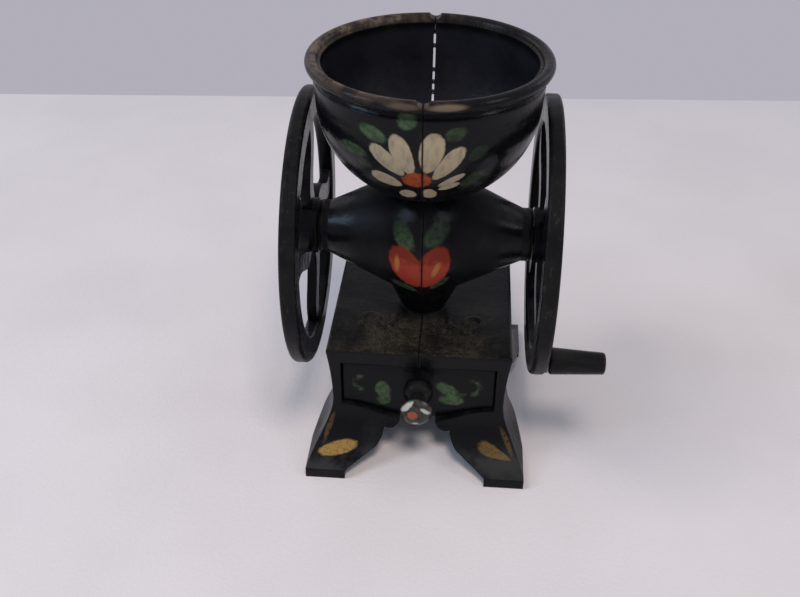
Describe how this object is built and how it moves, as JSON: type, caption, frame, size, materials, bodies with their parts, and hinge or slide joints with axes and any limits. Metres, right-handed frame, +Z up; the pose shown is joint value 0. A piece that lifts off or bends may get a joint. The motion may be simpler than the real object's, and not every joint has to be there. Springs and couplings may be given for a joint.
{
  "type": "hand crank coffee grinder",
  "caption": "Miniature cast-iron double-wheel coffee mill: round hopper, horizontal shaft with flywheels and a crank handle, flared base with a drawer for the ground coffee.",
  "frame": {"origin": "on the floor, in the middle of the plane of the soles, straight under the middle of the shaft and the hopper", "axes": "+X along the shaft towards the crank handle, -Y the way the drawer opens, +Z up"},
  "size_m": [0.1095, 0.096, 0.14],
  "materials": {
    "painted_iron": "semi-gloss, worn",
    "steel": "satin",
    "bronze": "dull",
    "burr_iron": "bare, ground",
    "tinplate": "dull",
    "nickel": "polished, worn"
  },
  "bodies": {
    "frame": {"left_casting": "painted_iron", "right_casting": "painted_iron", "body_tie_screw": "steel", "body_tie_nut": "steel", "base_tie_screw": "steel", "base_tie_nut": "steel", "left_bush": "bronze", "right_bush": "bronze", "fixed_burr": "burr_iron", "fixed_burr_screws": "steel"},
    "rotor": {"main_shaft": "steel", "left_wheel": "painted_iron", "right_wheel": "painted_iron", "left_wheel_pin": "steel", "right_wheel_pin": "steel", "left_wheel_washer": "steel", "right_wheel_washer": "steel", "left_wheel_nut": "steel", "right_wheel_nut": "steel", "feed_worm": "burr_iron", "worm_pin": "steel", "turning_burr": "burr_iron", "burr_pin": "steel", "crank_pin": "steel", "crank_washer": "steel"},
    "grip": {"crank_grip": "painted_iron"},
    "drawer": {"drawer_tray": "tinplate", "drawer_front": "painted_iron", "drawer_rivets": "tinplate", "drawer_knob": "nickel", "knob_rosette": "painted_iron", "knob_screw": "steel"}
  },
  "joints": [
    {"name": "crank_spin", "type": "hinge", "parent": "frame", "child": "rotor", "pos_m": [0, 0, 0.076], "axis": [1, 0, 0], "continuous": true},
    {"name": "grip_spin", "type": "hinge", "parent": "rotor", "child": "grip", "pos_m": [0.053, -0.03069, 0.04531], "axis": [1, 0, 0], "continuous": true},
    {"name": "drawer_slide", "type": "slide", "parent": "frame", "child": "drawer", "axis": [0, -1, 0], "range_m": [0, 0.04]}
  ]
}
